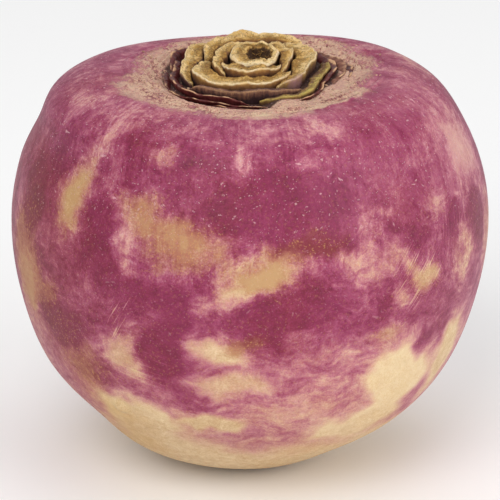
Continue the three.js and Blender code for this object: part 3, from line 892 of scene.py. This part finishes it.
def make_leaf(name, material, torn, thin, stained=0.0):
    """One leaf base or scale, fine enough for its torn rim and fibrous cut."""
    index = list(LEAVES).index(name)
    leaf = LEAVES[name]
    middle, span, thick_most, _, _, top, drop, dip, recline = leaf
    inner_middle = inner_radius(index, np.array([float(middle)]))[0]
    count = int(np.clip(math.radians(span) * inner_middle / 0.17, 70, 190))
    s = np.linspace(-1, 1, count)[:, None]
    directions = middle + s * span / 2
    angle = np.radians(directions)
    # It fills out its crevices a little, and its ends thin out and sink.
    end = smooth(np.abs(s), 0.90, 1.0)
    room = thickness(leaf, np.abs(s) * span / 2) + SPREAD_OUT
    thick = room * (1 - 0.40 * end)
    inner = inner_radius(index, directions) - SPREAD_OUT / 2 + (room - thick) / 2
    along = np.radians(directions - directions[0]) * inner
    cut_height = top - drop * s * s - dip * smooth(np.abs(s), *DIP_RISE)
    cut_height = cut_height + CUT_WAVE * np.sin(8 * angle + index) - 0.55 * end

    # Across it: up the inner face, over the cut and down the outer face.
    face_points = 13
    cut_points = int(np.clip(thick_most / 0.14, 9, 32))
    up_face = np.linspace(0, 1, face_points)[None, :]
    over = np.linspace(0, 1, cut_points)[None, 1:-1]
    share = np.concatenate([UNDERCUT * (1 - up_face) ** 3, over, 1 - UNDERCUT * up_face**3], axis=1)
    share = np.broadcast_to(share, (count, share.shape[1]))
    on_top = slice(face_points - 1, 1 - face_points)
    fall, rounded = cut_profile(share[:, on_top], thick, thin)
    rim_heights = cut_height - fall
    inner_face = LEAF_FOOT + (rim_heights[:, :1] - LEAF_FOOT) * up_face
    outer_face = rim_heights[:, -1:] - (rim_heights[:, -1:] - LEAF_FOOT) * up_face
    height = np.concatenate([inner_face, rim_heights[:, 1:-1], outer_face], axis=1)
    on_cut = np.zeros_like(height)
    on_cut[:, on_top] = rounded

    # The rims are torn, the outer one most, and the whole cut is lumpy.
    near_rim = smooth(height, cut_height - 2.2, cut_height - 0.2)
    outer_tear = 0.7 * ripple(along, index + 40, 0.06, 0.35)
    outer_tear = outer_tear + (0.08 if thin else 0.22) * ripple(along, index + 60, 0.5, 1.5)
    inner_tear = 0.5 * ripple(along, index + 80, 0.1, 0.8)
    tear = outer_tear * smooth(share, 0.3, 1.0) + inner_tear * smooth(share, 0.6, 0.0)
    height = height + torn * tear * near_rim
    wobble = 0.10 * ripple(along, index + 20, 0.08, 0.5) * smooth(height, 74.5, 76.5)
    back = LEAF_LEAN * (height - LEAN_FROM) + recline * smooth(height, *RECLINE_RISE)
    radius = inner + share * thick + back + wobble
    x = HEART[0] + radius * np.cos(angle)
    y = HEART[1] + radius * np.sin(angle)
    attributes = {
        "across": share,
        "cut": on_cut,
        "down": cut_height - height,
        "along": along + index * 40,
        "loose": 0.12 + on_cut,
        "stain": stained * smooth(np.abs(directions - 303), 17, 2) * smooth(share, 0.2, 0.8),
    }
    rough = loft_mesh(name, np.stack([x, y, lean_crown(y, height)], -1), attributes)
    lump = min(1.0, thick_most / 2.4)
    coarse, fine = (0.10, 0.08) if thin else (0.60, 0.32)
    return roughened(rough, material, "loose", (1.3, coarse * lump), (0.4, fine * lump), index)


def make_heart(material):
    """The cut stem in the middle: a ring wall round a shredded hollow."""
    wall = [
        (HEART_RADIUS - 0.5, 72.9), (HEART_RADIUS - 0.25, 75.5), (HEART_RADIUS, 77.6),
        (HEART_RADIUS + 0.05, 78.6), (HEART_RADIUS - 0.2, 79.0), (HEART_RADIUS - 0.9, 79.0),
        (2.7, 78.6), (2.3, 77.6), (1.5, 76.8),
        (0.3, 76.6),
    ]
    angle = np.linspace(0, 2 * math.pi, 160, endpoint=False)
    wall_points = 90
    distance, height = even_curve(wall, wall_points)
    hollow = 1 - smooth(distance, 3.0, HEART_RADIUS - 0.9)
    rise = smooth(height, 75.5, 78.5)
    bent = 1 + 0.035 * ripple_round(angle, 9, 2, 6) * smooth(height, 76, 78)
    shred = 0.20 * ripple_round(angle, 4, 7, 30) * hollow * smooth(height, 76.2, 77)
    x = (distance * bent + shred) * np.cos(angle) + HOLLOW_SHIFT[0] * hollow
    y = (distance * bent + shred) * np.sin(angle) + HOLLOW_SHIFT[1] * hollow
    torn = 0.30 * ripple_round(angle, 3, 1, 5) + 0.1 * ripple_round(angle, 8, 6, 20)
    torn = torn * smooth(height, 77.5, 79)
    y_all = HEART[1] + y
    z = lean_crown(y_all, height + 0.13 * y * rise + torn)
    inside = smooth(np.arange(wall_points), 46, 56)[:, None]
    on_cut = smooth(distance, 2.3, 2.7) * smooth(height, 78.2, 78.7)
    attributes = {
        "across": np.clip((distance - 2.4) / (HEART_RADIUS - 2.4), 0, 1),
        "cut": on_cut,
        # Inside the hollow the sides count as deeper, so they darken faster: painted shade.
        "down": np.clip(79.2 - height, 0, 9) * (1 + inside * 0.6),
        "along": angle * HEART_RADIUS,
        "loose": 0.4 + 0.6 * inside,
        "stain": 0.0,
        "shredded": hollow * smooth(height, 76.3, 77) * (1 - smooth(height, 78.2, 78.8)),
    }
    rough = loft_mesh("crown_heart", np.stack([HEART[0] + x, y_all, z], -1), attributes)
    return roughened(rough, material, "loose", (1.1, 0.55), (0.3, 0.28), 30)


# ---- Root ----
def make_root(surface, material):
    purple, russet = pigment(surface)
    height, on_top = surface.rings[..., 2], surface.on_top
    angle, distance = surface.crown_angle, surface.crown_distance
    front = smooth(-np.sin(angle), 0.3, 0.9)
    beyond = distance - cork_edge(angle)
    soft_edge, sharp_edge = smooth(beyond, -3.8, 2.2), smooth(beyond, -0.9, 0.4)
    lip_broken = 0.6 + 0.6 * ripple_round(angle, 14, 3, 20)
    lip = smooth(beyond, -2.0, -0.9) * smooth(beyond, 0.3, -0.3) * lip_broken
    cork = (1 - soft_edge * (1 - front) - sharp_edge * front) * on_top
    from_axis = np.hypot(surface.rings[..., 0], surface.rings[..., 1])
    taproot_scar = smooth(from_axis, 12.0, 10.2) * smooth(height, 0.9, 0.1)
    # Where the seat between the scales is painted dark, as shade.
    seat = smooth(distance - seat_edge(angle), 0.6, -0.6)
    calm = smooth(np.abs(surface.around - 52), 34, 16) * smooth(height, 56, 62)
    attributes = {
        "russet": russet,
        "cork": cork + 0.8 * taproot_scar,
        "brushed": smooth(height, 56, 38) * smooth(height, 8, 18) * 0.9 + 0.15,
        "upper": smooth(height, 48, 62),
        "specked": smooth(height, 12, 40) * (0.30 + 0.70 * smooth(height, 48, 68)),
        "rough_skin": 0.12 + 0.88 * cork,
        "mottled": 1.0 - 0.38 * smooth(height, 50, 32) - 0.35 * calm,
        "ring_out": distance,
        "lip": np.clip(lip, 0, 1) * lobe(angle, 286, 0.72) * on_top,
        # The seat's painted shade, and the old taproot scar's brown.
        "seat": seat * on_top + 0.4 * taproot_scar,
        "round_x": 4 * np.cos(angle),
        "round_y": 4 * np.sin(angle),
        # Maroon towards the left: partly the skin's own hue, partly painted shade darkening that side.
        "maroon": 0.8 * smooth(surface.around, -26, -56) * smooth(height, 72, 62) + 0.1,
        "crumbly": smooth(distance, 26, 19) * on_top * (height > 75),
    }
    for name, (turn, level, half_width, half_height, *_) in STROKES.items():
        attributes[name] = surface.patch(turn, level, half_width, half_height)
    # The old side root's bump, in its shallow ring.
    centre, _, _, out = surface.frame_at(*SIDE_ROOT_SCAR)
    away = np.linalg.norm(surface.rings - centre, axis=-1)
    bump = 0.5 * (1 - smooth(away, 0.3, 1.6)) - 0.18 * (1 - smooth(np.abs(away - 2.3), 0, 0.9))
    attributes["purple"] = purple * smooth(away, 1.0, 4.0)
    rough = loft_mesh("root_skin", surface.rings + bump[..., None] * out, attributes)
    return roughened(rough, material, "rough_skin", (2.4, 0.30), (0.6, 0.30), 2)


def finish_piece(piece, slot, *nodes):
    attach(piece, "root")
    if nodes:
        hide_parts(*nodes)


# ---- Stage ----
def make_stage():
    reach, level = 3.0, -0.05 * MM
    corners = [(-reach, -reach), (reach, -reach), (reach, reach), (-reach, reach)]
    mesh = bpy.data.meshes.new("floor")
    mesh.from_pydata([(x, y, level) for x, y in corners], [], [(0, 1, 2, 3)])
    paper = Finish("floor_paper", {"Roughness": 0.9, "Base Color": srgb(250, 250, 250)})
    mesh.materials.append(paper.material)
    placed("floor", mesh)

    world = bpy.data.worlds.new("studio")
    bpy.context.scene.world = world
    world.use_nodes = True
    backdrop = world.node_tree.nodes["Background"]
    backdrop.inputs["Color"].default_value = (1.0, 1.0, 1.0, 1.0)
    backdrop.inputs["Strength"].default_value = 0.58

    # name: place, size, power
    lamps = {
        "key_lamp": ((-0.35, -0.85, 0.80), 0.7, 6.4),
        "fill_lamp": ((0.85, -0.65, 0.35), 0.8, 5.2),
        "top_lamp": ((0.1, 0.25, 1.1), 0.8, 2.0),
    }
    for name, (place, size, power) in lamps.items():
        light = bpy.data.lights.new(name, "AREA")
        light.size = size
        light.energy = power
        lamp = placed(name, light)
        lamp.location = place
        aim = Vector((0, 0, 0.04)) - Vector(place)
        lamp.rotation_euler = aim.to_track_quat("-Z", "Y").to_euler()


def make_camera():
    """Looks along +Y from 20 degrees above, so that the turnip fills the frame's width."""
    elevation = math.radians(20)
    distance = 0.700
    frame_pixels = 500
    width_pixels, width = 476, 0.090
    aim = Vector((0, 0, 0.0390))
    centre_u, centre_v = 249.55, 256.2
    back = Vector((0, -math.cos(elevation), math.sin(elevation)))
    camera = bpy.data.cameras.new("camera")
    camera.sensor_width = 36
    camera.lens = 36 * (width_pixels / width * distance) / frame_pixels
    camera.shift_x = (frame_pixels / 2 - centre_u) / frame_pixels
    camera.shift_y = (centre_v - frame_pixels / 2) / frame_pixels
    made = placed("camera", camera)
    made.location = aim + back * distance
    made.rotation_euler = back.to_track_quat("Z", "Y").to_euler()
    bpy.context.scene.camera = made


# ---- The turnip ----
def make_crown():
    # The darkest face colours are partly painted shade in the troughs, and the darkest side colours
    # painted shade deep in the crevices.
    flesh_face = [(230, 196, 136), (208, 166, 94), (174, 130, 56), (116, 76, 24)]
    flesh_side = [(170, 124, 60), (124, 80, 36), (56, 26, 22)]
    maroon_side = [(168, 128, 84), (78, 38, 36), (44, 16, 18)]
    olive_side = [(172, 134, 70), (126, 90, 44), (86, 52, 36)]
    heart_face = [(236, 204, 146), (214, 176, 108), (176, 132, 62), (112, 74, 26)]
    heart_side = [(156, 112, 54), (116, 78, 32), (72, 44, 16)]
    green_face = [(192, 168, 86), (150, 116, 58), (110, 74, 44), (74, 44, 30)]
    green_side = [(176, 154, 74), (130, 96, 50), (74, 40, 30)]
    ribbed_face = [(166, 124, 88), (130, 86, 66), (94, 54, 48), (58, 28, 28)]
    ribbed_side = [(150, 106, 72), (106, 66, 50), (54, 24, 26)]
    flesh = flesh_finish("leaf_base_flesh", flesh_face, flesh_side)
    maroon = flesh_finish("maroon_sided_flesh", flesh_face, maroon_side)
    olive = flesh_finish("olive_sided_flesh", flesh_face, olive_side)
    green = flesh_finish("green_flesh", green_face, green_side, 0.7, (196, 176, 100))
    ribbed = flesh_finish("ribbed_flesh", ribbed_face, ribbed_side, 2.0, ribbed_face[0])
    dark = scale_finish("dark_scale", (116, 54, 52), (50, 16, 20), (204, 160, 124), 0.34, 1.3)
    rimmed = scale_finish("rimmed_scale", (116, 54, 52), (50, 16, 20), (210, 168, 132), 0.34, 1.6)
    tan = scale_finish("tan_scale", (154, 106, 86), (76, 36, 34), (208, 168, 134), 0.6)
    for name in LEAVES:
        if name in ("dry_scale_tan", "dry_scale_outer"):
            piece, slot = make_leaf(name, tan, 0.20, True), "tan_scale"
        elif name.startswith("dry_scale"):
            material = rimmed if name == "dry_scale_rim" else dark
            piece, slot = make_leaf(name, material, 0.24, True), "dry_scale"
        elif name == "leaf_base_green":
            piece, slot = make_leaf(name, green, 0.12, False), "green_leaf_base"
        elif name == "leaf_base_ribbed":
            piece, slot = make_leaf(name, ribbed, 0.12, False), "leaf_base"
        else:
            sided = {"leaf_base_left": maroon, "leaf_base_right": olive}
            stained = float(name == "leaf_base_right")
            piece = make_leaf(name, sided.get(name, flesh), 0.30, False, stained)
            slot = "leaf_base"
        finish_piece(piece, slot, name)
    heart = make_heart(flesh_finish("heart_flesh", heart_face, heart_side))
    finish_piece(heart, "crown_heart", "crown_heart")
    shreds = bit_finish("heart_shreds", (172, 130, 66), (98, 62, 24))
    tree = scatter_tree("shreds_in_the_heart", shreds, "shredded", fibre)
    finish_piece(strewn(heart, tree, "heart_shreds", 2.2e6, 0.07, 0.5, 1.0, 0.1, 5), "crown_heart")


def main():
    bpy.context.scene.view_settings.view_transform = "Standard"
    surface = Surface()
    root = make_root(surface, skin_finish(surface))
    finish_piece(root, "root_skin", "root")
    crumbs = bit_finish("collar_crumbs", (222, 186, 150), (132, 92, 72))
    tree = scatter_tree("crumbs_on_the_collar", crumbs, "crumbly", crumb)
    finish_piece(strewn(root, tree, "collar_crumbs", 1.6e5, 0.25, 0.6, 0.55, 0.02, 3), "root_skin")
    make_crown()
    make_stage()
    make_camera()


main()
